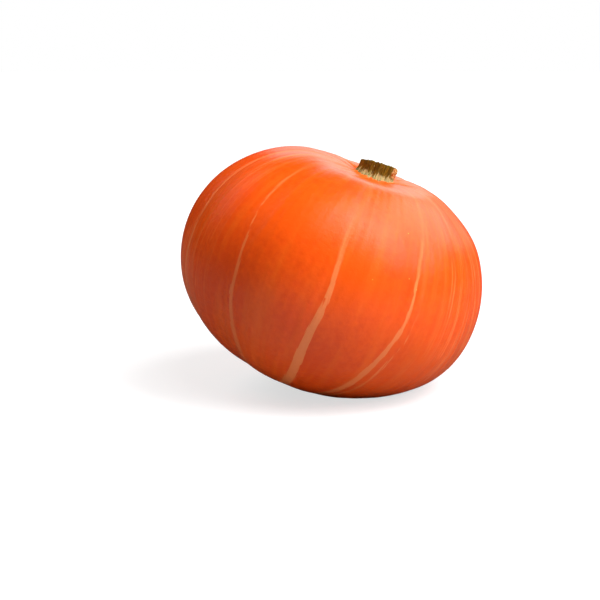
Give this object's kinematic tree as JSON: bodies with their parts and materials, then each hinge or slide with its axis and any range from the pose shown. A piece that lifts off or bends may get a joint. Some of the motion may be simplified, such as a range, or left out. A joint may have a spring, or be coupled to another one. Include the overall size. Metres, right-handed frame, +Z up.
{
  "type": "pumpkin",
  "caption": "Whole orange-red winter squash, smooth and squat with shallow lobes and pale stripes, a short cut corky stem and a flat ground spot that it leans on.",
  "frame": {"origin": "on the ground under the middle of the whole object's box", "axes": "+Z up from the flat ground spot; -Y is the front, where a pale stripe runs down the middle; the stem leans towards +X"},
  "size_m": [0.1922, 0.194, 0.1535],
  "materials": {
    "skin": "smooth waxy satin rind, red-orange with paler salmon stripes in the grooves and a dark green star round the blossom scar",
    "cut_stem": "dry corky olive-brown with fine fibres, paler and greener at its foot"
  },
  "bodies": {
    "root": {"fruit": "skin", "stem": "cut_stem"}
  },
  "joints": []
}
